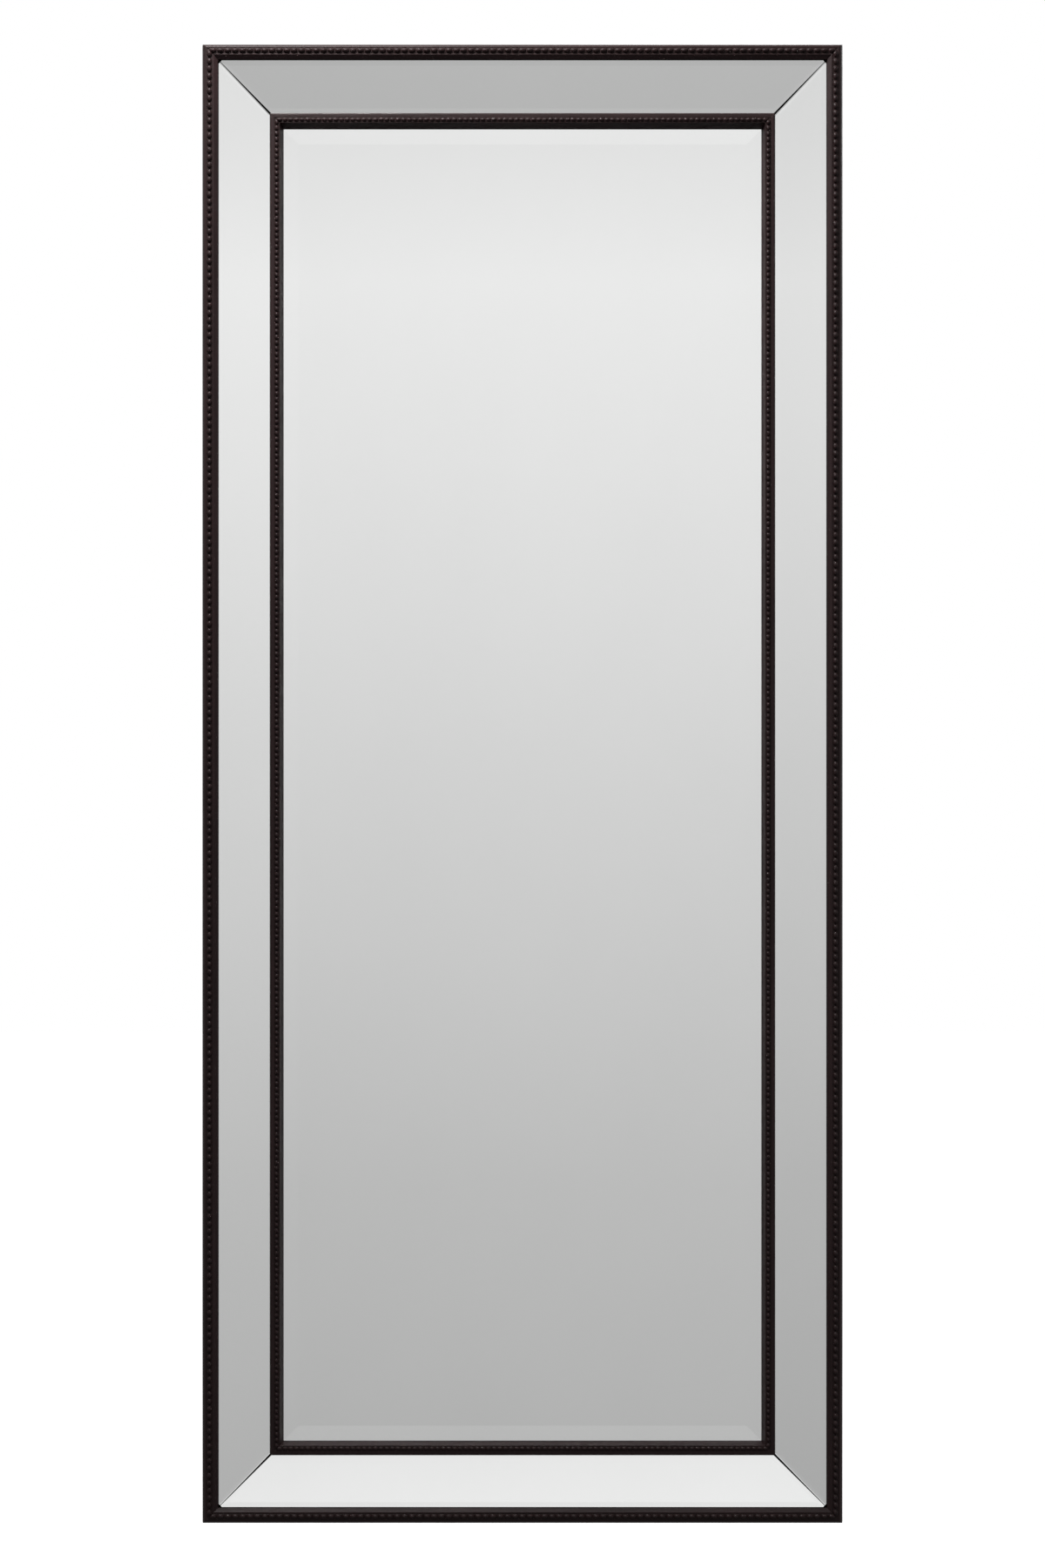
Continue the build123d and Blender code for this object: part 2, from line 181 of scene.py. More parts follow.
def mesh_from(bm, name, smooth_below=35):
    """Turns a bmesh into a mesh with its normals outwards, smooth where it bends gently."""
    bmesh.ops.recalc_face_normals(bm, faces=bm.faces)
    mesh = bpy.data.meshes.new(name)
    bm.to_mesh(mesh)
    bm.free()
    mesh.shade_smooth()
    mesh.set_sharp_from_angle(angle=math.radians(smooth_below))
    return mesh


floor_material, tree, shader = new_material("pale_floor")
shader.inputs["Base Color"].default_value = (0.9, 0.9, 0.9, 1)
shader.inputs["Roughness"].default_value = 0.8
shader.inputs["Specular IOR Level"].default_value = 0.0
shader.inputs["Emission Color"].default_value = (*WHITE, 1)
shader.inputs["Emission Strength"].default_value = FLOOR_GLOW
bm = bmesh.new()
bmesh.ops.create_grid(
    bm, x_segments=2, y_segments=2, size=FLOOR_HALF,
    matrix=Matrix.Translation((0, 0, cad_box[0][2] - FLOOR_GAP)),
)
floor = new_object("floor", mesh_from(bm, "floor"))
floor.data.materials.append(floor_material)
floor.visible_glossy = False
floor.visible_transmission = False
floor.visible_diffuse = False

# Grain and worn edges: two effects that the finishes below share. The grain is long soft streaks
# with fine open pores, drawn out where Stretch is small. The other rounds the normal over a small
# radius and gives a patchy mask along each arris.
STREAK_RANGE = (0.32, 0.68)
PORE_FINENESS = 5.5
PORE_RANGE = (0.36, 0.5)
ARRIS_TURN = (0.995, 0.86)
PATCH_RANGE = (0.38, 0.62, 0.25, 1.0)


def new_group(name, inputs, outputs):
    """A shader node group; inputs and outputs give each socket's name and kind."""
    group = bpy.data.node_groups.new(name, "ShaderNodeTree")
    for way, sockets in (("INPUT", inputs), ("OUTPUT", outputs)):
        for socket_name, kind in sockets.items():
            group.interface.new_socket(socket_name, in_out=way, socket_type="NodeSocket" + kind)
    return group, group.nodes.new("NodeGroupInput"), group.nodes.new("NodeGroupOutput")


def place_group(tree, group, **values):
    """The group's node in a material, with its values set."""
    node = tree.nodes.new("ShaderNodeGroup")
    node.node_tree = group
    for socket_name, value in values.items():
        node.inputs[socket_name].default_value = value
    return node


def placed_noise(tree, coordinates, scale, detail, roughness=0.55):
    """A noise texture on given coordinates."""
    noise = tree.nodes.new("ShaderNodeTexNoise")
    noise.inputs["Scale"].default_value = scale
    noise.inputs["Detail"].default_value = detail
    noise.inputs["Roughness"].default_value = roughness
    tree.links.new(coordinates, noise.inputs["Vector"])
    return noise.outputs["Fac"]


def times(tree, a, b):
    """The product of a socket and a number or another socket."""
    node = tree.nodes.new("ShaderNodeMath")
    node.operation = "MULTIPLY"
    tree.links.new(a, node.inputs[0])
    if isinstance(b, float):
        node.inputs[1].default_value = b
    else:
        tree.links.new(b, node.inputs[1])
    return node.outputs[0]


grain_group, entry, leave = new_group(
    "wood_grain", {"Stretch": "Vector", "Scale": "Float"}, {"Streaks": "Float", "Pores": "Float"}
)
coordinates = grain_group.nodes.new("ShaderNodeTexCoord")
stretched = grain_group.nodes.new("ShaderNodeVectorMath")
stretched.operation = "MULTIPLY"
grain_group.links.new(coordinates.outputs["Object"], stretched.inputs[0])
grain_group.links.new(entry.outputs["Stretch"], stretched.inputs[1])
scaled = grain_group.nodes.new("ShaderNodeVectorMath")
scaled.operation = "SCALE"
grain_group.links.new(stretched.outputs[0], scaled.inputs[0])
grain_group.links.new(entry.outputs["Scale"], scaled.inputs["Scale"])
streaks = placed_noise(grain_group, scaled.outputs[0], 1.0, 5.0)
pores = placed_noise(grain_group, scaled.outputs[0], PORE_FINENESS, 2.0, 0.7)
grain_group.links.new(spread(grain_group, streaks, *STREAK_RANGE), leave.inputs["Streaks"])
grain_group.links.new(spread(grain_group, pores, *PORE_RANGE), leave.inputs["Pores"])

edge_group, entry, leave = new_group(
    "worn_edge", {"Radius": "Float", "Patches": "Float"}, {"Normal": "Vector", "Mask": "Float"}
)
rounded = edge_group.nodes.new("ShaderNodeBevel")
rounded.samples = 6
edge_group.links.new(entry.outputs["Radius"], rounded.inputs["Radius"])
turned = edge_group.nodes.new("ShaderNodeVectorMath")
turned.operation = "DOT_PRODUCT"
edge_group.links.new(rounded.outputs["Normal"], turned.inputs[0])
flat = edge_group.nodes.new("ShaderNodeNewGeometry")
edge_group.links.new(flat.outputs["Normal"], turned.inputs[1])
arris = spread(edge_group, turned.outputs["Value"], *ARRIS_TURN)
coordinates = edge_group.nodes.new("ShaderNodeTexCoord")
patch = edge_group.nodes.new("ShaderNodeTexNoise")
patch.inputs["Detail"].default_value = 4.0
edge_group.links.new(coordinates.outputs["Object"], patch.inputs["Vector"])
edge_group.links.new(entry.outputs["Patches"], patch.inputs["Scale"])
patches = spread(edge_group, patch.outputs["Fac"], *PATCH_RANGE)
edge_group.links.new(times(edge_group, arris, patches), leave.inputs["Mask"])
edge_group.links.new(rounded.outputs["Normal"], leave.inputs["Normal"])

# Outer rails: hardwood moulding, planed to a rounded shoulder, stained to a dark espresso brown
# and sprayed with satin lacquer. They are mitred at the corners and nailed across the joint.
SIDES = ("top", "bottom", "left", "right")
LIE_OF = {"top": "level", "bottom": "level", "left": "upright", "right": "upright"}
GRAIN_ALONG = 0.045
GRAIN_OF = {"level": (GRAIN_ALONG, 1, 1), "upright": (1, 1, GRAIN_ALONG)}
GRAIN_FINENESS = 150.0
PORE_RELIEF = 0.25
PORE_DEPTH = 0.0003
ARRIS_RADIUS = 0.0006
ARRIS_PATCHES = 45.0
ARRIS_RUB = 0.7
STREAK_DULLING = 0.07
STAIN_DARK = (0.0125, 0.0058, 0.0060)
STAIN_LIGHT = (0.0250, 0.0125, 0.0130)
STAIN_WORN = (0.045, 0.026, 0.022)
ESPRESSO = (STAIN_DARK, STAIN_LIGHT, STAIN_WORN)
LACQUER_ROUGHNESS = 0.44
LACQUER_GLOSS = 0.16


def stained_wood(name, stretch, tones, roughness, gloss):
    """Stained wood: tones are the stain's dark streaks, its light ones and the rubbed edges."""
    dark, light, worn = tones
    material, tree, shader = new_material(name)
    grain = place_group(tree, grain_group, Stretch=stretch, Scale=GRAIN_FINENESS)
    edge = place_group(tree, edge_group, Radius=ARRIS_RADIUS, Patches=ARRIS_PATCHES)
    stain = mixed(tree, grain.outputs["Streaks"], dark, light)
    colour = mixed(tree, times(tree, edge.outputs["Mask"], ARRIS_RUB), stain, worn)
    tree.links.new(colour, shader.inputs["Base Color"])
    sheen = spread(tree, grain.outputs["Streaks"], 0.0, 1.0, roughness + STREAK_DULLING, roughness)
    tree.links.new(sheen, shader.inputs["Roughness"])
    bump = tree.nodes.new("ShaderNodeBump")
    bump.inputs["Strength"].default_value = PORE_RELIEF
    bump.inputs["Distance"].default_value = PORE_DEPTH
    tree.links.new(grain.outputs["Pores"], bump.inputs["Height"])
    tree.links.new(edge.outputs["Normal"], bump.inputs["Normal"])
    tree.links.new(bump.outputs["Normal"], shader.inputs["Normal"])
    shader.inputs["Specular IOR Level"].default_value = gloss
    return material


def dress(node, material):
    """Gives a carried-over node its finish."""
    mesh = nodes[node].data
    mesh.materials.clear()
    mesh.materials.append(material)


rail_wood = {
    lie: stained_wood("espresso_wood_" + lie, stretch, ESPRESSO, LACQUER_ROUGHNESS, LACQUER_GLOSS)
    for lie, stretch in GRAIN_OF.items()
}
for side in SIDES:
    dress("outer_rail_" + side, rail_wood[LIE_OF[side]])

# Outer pearls: a beading strip pressed from wood, stained with the rail and glued in its
# channel. Each pearl is a little longer than wide and nearly touches the next.
OUTER_PEARL_PITCH = 0.009
CHANNEL_DEPTH = 0.0006
PEARL_FILL = 0.97
PEARL_SEGMENTS = 10
PEARL_RINGS = 8
PEARL_ROUGHNESS = 0.38
PEARL_GLOSS = 0.15
pearl_wood = stained_wood("espresso_pearls", (1, 1, 1), ESPRESSO, PEARL_ROUGHNESS, PEARL_GLOSS)


def domed_pearl(half_x, height, half_z):
    """The mesh of one pearl: the half of a drawn-out ball that stands forward of its seat."""
    bm = bmesh.new()
    bmesh.ops.create_uvsphere(
        bm, u_segments=PEARL_SEGMENTS, v_segments=PEARL_RINGS, radius=1.0,
        matrix=Matrix.Diagonal((half_x, height, half_z, 1)) @ Matrix.Rotation(math.pi / 2, 4, "X"),
    )
    bmesh.ops.bisect_plane(
        bm, geom=bm.verts[:] + bm.edges[:] + bm.faces[:],
        plane_co=(0, 0, 0), plane_no=(0, 1, 0), clear_outer=True,
    )
    bmesh.ops.holes_fill(bm, edges=bm.edges)
    return mesh_from(bm, "pearl")


def pearl_row(name, node, pitch):
    """A row of pearls on a low base strip, in the place of a beading node."""
    low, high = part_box(node)
    size = high - low
    middle = (low + high) / 2
    along = 0 if size.x > size.z else 2
    across = 2 - along
    width = size[across]
    half_row = (size[along] - width) / 2
    count = round(2 * half_row / pitch)
    step = 2 * half_row / count
    seat = high.y - CHANNEL_DEPTH
    pearl_size = [0, seat - low.y, 0]
    pearl_size[along] = step * PEARL_FILL / 2
    pearl_size[across] = width / 2
    pearl = domed_pearl(*pearl_size)
    bm = bmesh.new()
    place = Vector((middle.x, seat, middle.z))
    for number in range(count):
        place[along] = middle[along] - half_row + (number + 0.5) * step
        first = len(bm.verts)
        bm.from_mesh(pearl)
        bmesh.ops.translate(bm, verts=bm.verts[first:], vec=place)
    base = [0, CHANNEL_DEPTH, 0]
    base[along] = 2 * half_row
    base[across] = width
    bmesh.ops.create_cube(
        bm, size=1.0,
        matrix=Matrix.Translation((middle.x, seat + CHANNEL_DEPTH / 2, middle.z))
        @ Matrix.Diagonal((*base, 1)),
    )
    piece = new_object(name, mesh_from(bm, name, smooth_below=50))
    piece.data.materials.append(pearl_wood)
    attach(piece, "frame")
    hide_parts(node)


for side in SIDES:
    pearl_row("outer_pearls_" + side, "outer_beading_" + side, OUTER_PEARL_PITCH)

# Border mirrors: four strips of 4 mm mirror glass, cut to a trapezoid, ground to a narrow bevel
# all round, polished, and silvered behind. They lie on the carriers and slope to the middle.
GLASS_TINT = (0.93, 0.965, 0.945)
GLASS_IOR = 1.5
GLASS_ARRIS = 0.0005
GLASS_PATCHES = 60.0
CUT_SIDE_TURN = (0.6, 0.4)
# Near-black colour for the glass's cut sides: painted shade for the shadow in the gaps, not the
# ground edge's own colour.
CUT_SIDE_PAINTED_SHADE = (0.012, 0.018, 0.022)
WIPE_STRETCH = (0.4, 1.0, 0.3)
WIPE_FINENESS = 14.0
WIPE_HAZE = 0.012
SILVER = (0.945, 0.95, 0.945)
SILVER_SHADE = 0.985
SILVER_HAZE = (0.012, 0.02)
SILVER_DEPTH = 0.00004
SILVER_THICK = 0.00002
SILVER_MARGIN = 0.0012
RIPPLE_STRETCH = (1.0, 1.0, 0.6)
RIPPLE_FINENESS = 5.0
RIPPLE_RELIEF = 0.06
RIPPLE_DEPTH = 0.0004
WELD = 1e-6
FLAT = 0.001
glass, tree, shader = new_material("polished_glass")
shader.inputs["Transmission Weight"].default_value = 1.0
shader.inputs["IOR"].default_value = GLASS_IOR
edge = place_group(tree, edge_group, Radius=GLASS_ARRIS, Patches=GLASS_PATCHES)
polished = mixed(tree, edge.outputs["Mask"], WHITE, GLASS_TINT)
# Faces that don't face forwards or back (the cut sides of each sheet) get the near-black colour:
# painted shade that stands in for the shadow on the glass edges between strips and rails.
facing = tree.nodes.new("ShaderNodeSeparateXYZ")
tree.links.new(tree.nodes.new("ShaderNodeNewGeometry").outputs["True Normal"], facing.inputs[0])
forwards = tree.nodes.new("ShaderNodeMath")
forwards.operation = "ABSOLUTE"
tree.links.new(facing.outputs["Y"], forwards.inputs[0])
shade_painted_sides = spread(tree, forwards.outputs[0], *CUT_SIDE_TURN)
tree.links.new(mixed(tree, shade_painted_sides, polished, CUT_SIDE_PAINTED_SHADE), shader.inputs["Base Color"])
wipe = place_group(tree, grain_group, Stretch=WIPE_STRETCH, Scale=WIPE_FINENESS)
haze = spread(tree, wipe.outputs["Streaks"], 0.6, 1.0, 0.0, WIPE_HAZE)
tree.links.new(haze, shader.inputs["Roughness"])

silver, tree, shader = new_material("silvering")
shader.inputs["Metallic"].default_value = 1.0
waves = place_group(tree, grain_group, Stretch=RIPPLE_STRETCH, Scale=RIPPLE_FINENESS)
shaded = tuple(SILVER_SHADE * c for c in SILVER)
tree.links.new(mixed(tree, waves.outputs["Streaks"], SILVER, shaded), shader.inputs["Base Color"])
tree.links.new(
    spread(tree, waves.outputs["Pores"], 0.0, 1.0, *SILVER_HAZE), shader.inputs["Roughness"]
)
ripple = tree.nodes.new("ShaderNodeBump")
ripple.inputs["Strength"].default_value = RIPPLE_RELIEF
ripple.inputs["Distance"].default_value = RIPPLE_DEPTH
tree.links.new(waves.outputs["Streaks"], ripple.inputs["Height"])
tree.links.new(ripple.outputs["Normal"], shader.inputs["Normal"])


def silvering(name, node):
    """The mirror coat of one sheet: its back face, drawn in from the cut edges and thickened."""
    bm = bmesh.new()
    bm.from_mesh(nodes[node].data)
    bmesh.ops.remove_doubles(bm, verts=bm.verts, dist=WELD)
    bm.normal_update()
    back = max(bm.faces, key=lambda face: face.calc_area() * (face.normal.y > 0.9)).normal.copy()
    others = [face for face in bm.faces if face.normal.dot(back) < 0.9999]
    bmesh.ops.delete(bm, geom=others, context="FACES")
    bmesh.ops.dissolve_limit(bm, angle_limit=FLAT, verts=bm.verts, edges=bm.edges)
    rim = bmesh.ops.inset_region(bm, faces=bm.faces, thickness=SILVER_MARGIN, use_even_offset=True)
    bmesh.ops.delete(bm, geom=rim["faces"], context="FACES")
    bmesh.ops.translate(bm, verts=bm.verts, vec=back * -SILVER_DEPTH)
    bmesh.ops.solidify(bm, geom=bm.faces, thickness=SILVER_THICK)
    piece = new_object(name, mesh_from(bm, name))
    piece.data.materials.append(silver)
    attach(piece, "frame")


for side in SIDES:
    dress("border_mirror_" + side, glass)
    silvering("border_silvering_" + side, "border_mirror_" + side)

# Carriers: planed softwood under the border glass, brushed with a thin black ground so that no
# pale wood shows through the gaps at the mitres. The brushing leaves the grain just in sight.
BLACK_GROUND = ((0.0030, 0.0028, 0.0028), (0.0075, 0.0068, 0.0062), (0.045, 0.030, 0.018))
GROUND_ROUGHNESS = 0.7
GROUND_GLOSS = 0.12
black_pine = {
    lie: stained_wood("black_pine_" + lie, stretch, BLACK_GROUND, GROUND_ROUGHNESS, GROUND_GLOSS)
    for lie, stretch in GRAIN_OF.items()
}
for side in SIDES:
    dress("carrier_" + side, black_pine[LIE_OF[side]])

# Inner rails and their pearls: a smaller moulding of the same wood and finish, mitred like the
# outer one. Its foot stands on the carriers, and its inner edge laps the plate.
INNER_PEARL_PITCH = 0.0069
for side in SIDES:
    dress("inner_rail_" + side, rail_wood[LIE_OF[side]])
    pearl_row("inner_pearls_" + side, "inner_beading_" + side, INNER_PEARL_PITCH)

# Centre plate: one sheet of the same mirror glass, ground to a wide shallow bevel on its four
# edges and silvered behind. It is held between the inner rails and the foam on the panel.
dress("centre_mirror", glass)
silvering("centre_silvering", "centre_mirror")

# Foam tapes between plate and panel, and the rubber blocks that the plate stands on: pale foam
# with an open skin, and black rubber moulded a little rough.
MOTTLE_RANGE = (0.35, 0.65)
MOTTLE_RELIEF = 0.4
MOTTLE_DULLING = 0.06


def matte(name, dark, light, fineness, roughness, depth, gloss=0.3):
    """A dull even material: two close tones in fine mottling, with a matching relief."""
    material, tree, shader = new_material(name)
    coordinates = tree.nodes.new("ShaderNodeTexCoord").outputs["Object"]
    mottle = placed_noise(tree, coordinates, fineness, 5.0, 0.65)
    colour = mixed(tree, spread(tree, mottle, *MOTTLE_RANGE), dark, light)
    tree.links.new(colour, shader.inputs["Base Color"])
    sheen = spread(tree, mottle, 0.3, 0.7, roughness - MOTTLE_DULLING, roughness + MOTTLE_DULLING)
    tree.links.new(sheen, shader.inputs["Roughness"])
    bump = tree.nodes.new("ShaderNodeBump")
    bump.inputs["Strength"].default_value = MOTTLE_RELIEF
    bump.inputs["Distance"].default_value = depth
    tree.links.new(mottle, bump.inputs["Height"])
    tree.links.new(bump.outputs["Normal"], shader.inputs["Normal"])
    shader.inputs["Specular IOR Level"].default_value = gloss
    return material


pale_foam = matte(
    "foam", dark=(0.62, 0.61, 0.58), light=(0.76, 0.75, 0.72),
    fineness=900.0, roughness=0.9, depth=0.0004,
)
block_rubber = matte(
    "block_rubber", dark=(0.012, 0.012, 0.013), light=(0.022, 0.022, 0.023),
    fineness=500.0, roughness=0.6, depth=0.0002,
)
dress("foam_tapes", pale_foam)
dress("setting_blocks", block_rubber)

# Back panel: hardboard, 5 mm, smooth brown with a fibrous mottle, let into the frame's rebate
# and countersunk for its screws.
hardboard = matte(
    "hardboard", dark=(0.20, 0.115, 0.062), light=(0.33, 0.205, 0.118),
    fineness=260.0, roughness=0.6, depth=0.00015,
)
dress("back_panel", hardboard)

# Panel screws: zinc-plated steel wood screws with a cross recess and a countersunk head, driven
# through the panel into the carriers. Pan-headed ones of the same make hold the hangers.
COUNTERSUNK_RADIUS = 0.0036
PAN_RADIUS = 0.0038
PAN_TOP_SHARE = 0.86
PAN_HEIGHT = 0.002
PAN_ROUNDING = 0.0009
HEAD_SEGMENTS = 28
SHANK_RADIUS = 0.00175
SHANK_LENGTH = 0.0128
SHANK_TIP_SHARE = 0.35
SHANK_SEGMENTS = 16
CROSS_SPAN = 0.0042
CROSS_SLOT = 0.0009
CROSS_DEPTH = 0.0013
CROSS_TAPER = 0.55
PANEL_SCREW_SPIN = 0.71
SPANGLE_FINENESS = 320.0
SPANGLE_RANGE = (0.35, 0.65)
SPANGLE_SHADE = 0.82
SPANGLE_DULLING = 0.14
ZINC_ARRIS = 0.0003
ZINC_PATCHES = 300.0
ZINC_RUB = 0.6
ZINC_RUBBED = (0.78, 0.78, 0.77)


def islands(node):
    """The box of each separate solid in a node, as lowest and highest corners."""
    bm = bmesh.new()
    bm.from_mesh(nodes[node].data)
    bmesh.ops.remove_doubles(bm, verts=bm.verts, dist=WELD)
    left = set(bm.verts)
    found = []
    while left:
        reached = [left.pop()]
        for vert in reached:
            for link in vert.link_edges:
                other = link.other_vert(vert)
                if other in left:
                    left.remove(other)
                    reached.append(other)
        corners = [[v.co[axis] for v in reached] for axis in range(3)]
        found.append((Vector(map(min, corners)), Vector(map(max, corners))))
    bm.free()
    return sorted(found, key=lambda pair: (round(pair[0].x, 4), pair[0].z))


def zinc(name, tint, roughness):
    """Zinc plate on steel: a faint spangle in tone and gloss, and rubbed edges."""
    material, tree, shader = new_material(name)
    coordinates = tree.nodes.new("ShaderNodeTexCoord").outputs["Object"]
    spangle = placed_noise(tree, coordinates, SPANGLE_FINENESS, 4.0, 0.6)
    edge = place_group(tree, edge_group, Radius=ZINC_ARRIS, Patches=ZINC_PATCHES)
    shaded = tuple(SPANGLE_SHADE * c for c in tint)
    plate = mixed(tree, spread(tree, spangle, *SPANGLE_RANGE), shaded, tint)
    colour = mixed(tree, times(tree, edge.outputs["Mask"], ZINC_RUB), plate, ZINC_RUBBED)
    tree.links.new(colour, shader.inputs["Base Color"])
    sheen = spread(tree, spangle, 0.3, 0.7, roughness, roughness + SPANGLE_DULLING)
    tree.links.new(sheen, shader.inputs["Roughness"])
    tree.links.new(edge.outputs["Normal"], shader.inputs["Normal"])
    shader.inputs["Metallic"].default_value = 1.0
    return material


def cross_cutter(top):
    """Two crossed blades that narrow downwards, centred on the top of a screw's head."""
    bm = bmesh.new()
    for turn in (0, math.pi / 2):
        blade = bmesh.ops.create_cube(bm, size=1.0)["verts"]
        tip = [v for v in blade if v.co.z < 0]
        bmesh.ops.scale(bm, vec=(CROSS_TAPER, CROSS_TAPER, 1), verts=tip)
        bmesh.ops.scale(bm, vec=(CROSS_SPAN, CROSS_SLOT, 2 * CROSS_DEPTH), verts=blade)
        bmesh.ops.translate(bm, vec=(0, 0, top), verts=blade)
        bmesh.ops.rotate(bm, verts=blade, cent=(0, 0, 0), matrix=Matrix.Rotation(turn, 3, "Z"))
    return new_object("cross_blank", mesh_from(bm, "cross_blank"))


def screw_mesh(pan):
    """One screw standing up along Z, its seat at Z = 0, with the cross cut in its head."""
    bm = bmesh.new()
    if pan:
        top = PAN_HEIGHT
        shank_top = 0.0
        bmesh.ops.create_cone(
            bm, cap_ends=True, segments=HEAD_SEGMENTS, radius1=PAN_RADIUS,
            radius2=PAN_RADIUS * PAN_TOP_SHARE, depth=PAN_HEIGHT,
            matrix=Matrix.Translation((0, 0, PAN_HEIGHT / 2)),
        )
        rim = [e for e in bm.edges if all(v.co.z > PAN_HEIGHT / 2 for v in e.verts)]
        bmesh.ops.bevel(
            bm, geom=rim, offset=PAN_ROUNDING, affect="EDGES", segments=4, profile=0.5, material=-1
        )
    else:
        top = 0.0
        shank_top = SHANK_RADIUS - COUNTERSUNK_RADIUS
        bmesh.ops.create_cone(
            bm, cap_ends=True, segments=HEAD_SEGMENTS, radius1=SHANK_RADIUS,
            radius2=COUNTERSUNK_RADIUS, depth=-shank_top,
            matrix=Matrix.Translation((0, 0, shank_top / 2)),
        )
    head = new_object("head_blank", mesh_from(bm, "head_blank"))
    cutter = cross_cutter(top)
    cut = head.modifiers.new("cross", "BOOLEAN")
    cut.object = cutter
    cut.operation = "DIFFERENCE"
    cut.solver = "EXACT"
    cut.use_self = True
    bpy.context.view_layer.update()
    shown = head.evaluated_get(bpy.context.evaluated_depsgraph_get())
    finished = bpy.data.meshes.new_from_object(shown)
    for blank in (head, cutter):
        bpy.data.objects.remove(blank)
    bm = bmesh.new()
    bm.from_mesh(finished)
    bmesh.ops.create_cone(
        bm, cap_ends=True, segments=SHANK_SEGMENTS, radius1=SHANK_RADIUS * SHANK_TIP_SHARE,
        radius2=SHANK_RADIUS, depth=SHANK_LENGTH,
        matrix=Matrix.Translation((0, 0, shank_top - SHANK_LENGTH / 2)),
    )
    bm.to_mesh(finished)
    bm.free()
    return finished


def screws(name, node, pan, spin):
    """One screw for each solid of a node, each turned a little further than the last."""
    one = screw_mesh(pan)
    bm = bmesh.new()
    for number, (low, high) in enumerate(islands(node)):
        middle = (low + high) / 2
        seat_y = high.y - (PAN_HEIGHT if pan else 0.0)
        first = len(bm.verts)
        bm.from_mesh(one)
        place = Matrix.Translation((middle.x, seat_y, middle.z))
        to_wall = Matrix.Rotation(-math.pi / 2, 4, "X")
        turn = Matrix.Rotation(number * spin, 4, "Z")
        bmesh.ops.transform(bm, verts=bm.verts[first:], matrix=place @ to_wall @ turn)
    piece = new_object(name, mesh_from(bm, name))
    piece.data.materials.append(screw_zinc)
    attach(piece, "frame")
    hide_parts(node)


screw_zinc = zinc("zinc_screws", (0.60, 0.60, 0.585), 0.26)
screws("panel_screw_set", "panel_screws", False, PANEL_SCREW_SPIN)

# Mitre nails: V-shaped strips of hardened steel, pressed across each mitre from behind, under
# the panel.
nail_steel = zinc("nail_steel", (0.42, 0.42, 0.43), 0.38)
dress("mitre_nails", nail_steel)

# Hangers: a folded zinc-plated strap on each upright, two pan-headed screws, and a closed wire
# ring that swings in the strap's eye.
HANDS = ("left", "right")
HANGER_SCREW_SPIN = 1.13
RING_RADIUS = 0.0018
RING_CORNER = 0.0026
RING_LEG = 0.005
RING_TILT = math.radians(8)
RING_SEGMENTS = 14
CORNER_STEPS = 8
BOW_STEPS = 20
hanger_zinc = zinc("zinc_hangers", (0.66, 0.655, 0.63), 0.22)
for hand in HANDS:
    dress("hanger_strap_" + hand, hanger_zinc)
screws("hanger_screw_set", "hanger_screws", True, HANGER_SCREW_SPIN)


def half_ring(bm, pin):
    """Half the ring, drawn out from the middle of its pin, bent down, and bowed to the foot."""

    def drawn(loop, offset):
        """The wire's end moved straight on."""
        moved = bmesh.ops.extrude_edge_only(bm, edges=loop)["geom"]
        ends = [g for g in moved if isinstance(g, bmesh.types.BMVert)]
        bmesh.ops.translate(bm, verts=ends, vec=offset)
        return [g for g in moved if isinstance(g, bmesh.types.BMEdge)]

    def bent(loop, centre, steps):
        """The wire's end carried a quarter turn round a centre."""
        moved = bmesh.ops.spin(
            bm, geom=loop, cent=centre, axis=(0, 1, 0), angle=math.pi / 2, steps=steps
        )
        return [g for g in moved["geom_last"] if isinstance(g, bmesh.types.BMEdge)]

    bmesh.ops.create_circle(
        bm, segments=RING_SEGMENTS, radius=RING_RADIUS, matrix=Matrix.Rotation(math.pi / 2, 4, "Y")
    )
    loop = drawn(bm.edges[:], (pin, 0, 0))
    loop = bent(loop, (pin, 0, -RING_CORNER), CORNER_STEPS)
    loop = drawn(loop, (0, 0, RING_CORNER - RING_LEG))
    bent(loop, (0, 0, -RING_LEG), BOW_STEPS)


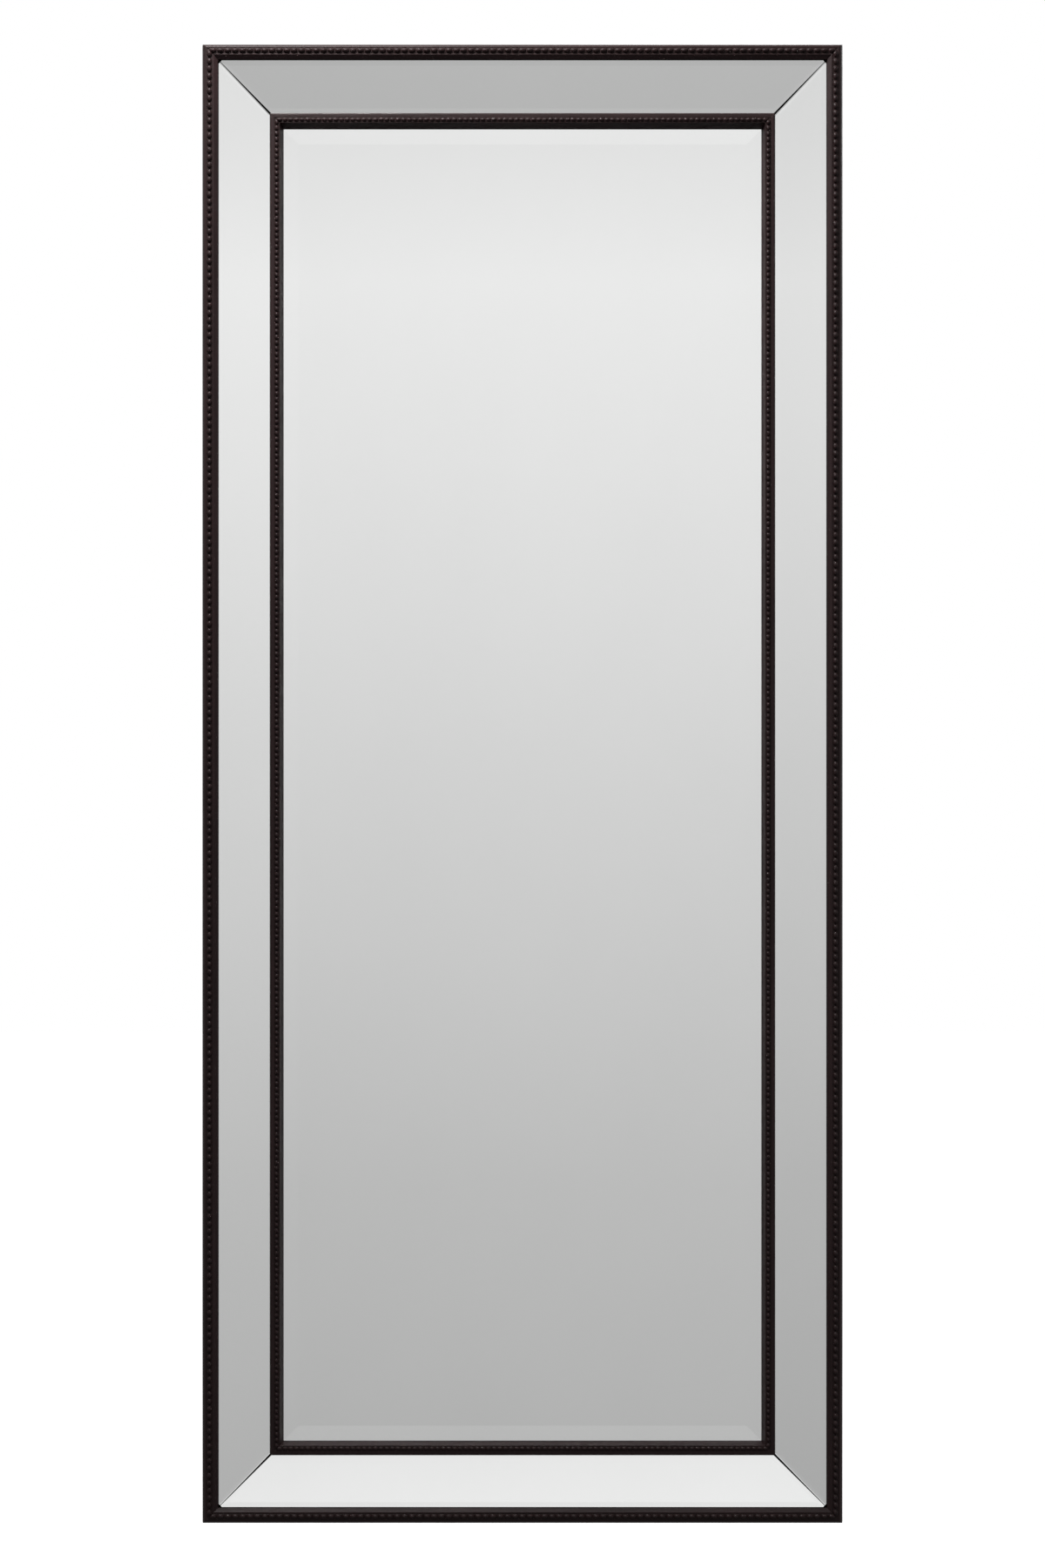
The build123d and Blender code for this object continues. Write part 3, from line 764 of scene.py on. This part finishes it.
def wire_ring(name, node, body):
    """A whole ring in the place of a ring node: half of it, mirrored, tilted off the strap."""
    low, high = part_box(node)
    bm = bmesh.new()
    half_ring(bm, (high.x - low.x) / 2 - RING_RADIUS - RING_CORNER)
    other = bmesh.ops.duplicate(bm, geom=bm.verts[:] + bm.edges[:] + bm.faces[:])["geom"]
    other_verts = [g for g in other if isinstance(g, bmesh.types.BMVert)]
    bmesh.ops.scale(bm, vec=(-1, 1, 1), verts=other_verts)
    bmesh.ops.remove_doubles(bm, verts=bm.verts, dist=WELD)
    bmesh.ops.transform(bm, verts=bm.verts, matrix=Matrix.Rotation(RING_TILT, 4, "X"))
    nearest_wall = max(v.co.y for v in bm.verts)
    place = ((low.x + high.x) / 2, high.y - nearest_wall, high.z - RING_RADIUS)
    bmesh.ops.translate(bm, verts=bm.verts, vec=place)
    piece = new_object(name, mesh_from(bm, name, smooth_below=60))
    piece.data.materials.append(hanger_zinc)
    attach(piece, body)
    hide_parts(node)


for hand in HANDS:
    wire_ring("wire_ring_" + hand, "hanger_ring_" + hand, "ring_" + hand)

# Bumpers: four soft black rubber buttons stuck to the panel's corners, so that the frame stands
# off the wall and doesn't mark it.
BUMPER_TOP_SHARE = 0.86
BUMPER_ROUNDING = 0.0012
BUMPER_SEGMENTS = 48
bumper_rubber = matte(
    "bumper_rubber", dark=(0.016, 0.016, 0.017), light=(0.032, 0.032, 0.034),
    fineness=420.0, roughness=0.55, depth=0.00012,
)


def rubber_button(radius, height):
    """The mesh of one bumper about its own middle, narrower and rounded towards the wall."""
    bm = bmesh.new()
    bmesh.ops.create_cone(
        bm, cap_ends=True, segments=BUMPER_SEGMENTS, radius1=radius,
        radius2=radius * BUMPER_TOP_SHARE, depth=height,
        matrix=Matrix.Rotation(-math.pi / 2, 4, "X"),
    )
    rim = [e for e in bm.edges if all(v.co.y > 0 for v in e.verts)]
    bmesh.ops.bevel(
        bm, geom=rim, offset=BUMPER_ROUNDING, affect="EDGES", segments=4, profile=0.5, material=-1
    )
    return mesh_from(bm, "button")


bm = bmesh.new()
for low, high in islands("wall_bumpers"):
    first = len(bm.verts)
    bm.from_mesh(rubber_button((high.x - low.x) / 2, high.y - low.y))
    bmesh.ops.translate(bm, verts=bm.verts[first:], vec=(low + high) / 2)
bumpers = new_object("rubber_bumpers", mesh_from(bm, "rubber_bumpers"))
bumpers.data.materials.append(bumper_rubber)
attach(bumpers, "frame")
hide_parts("wall_bumpers")
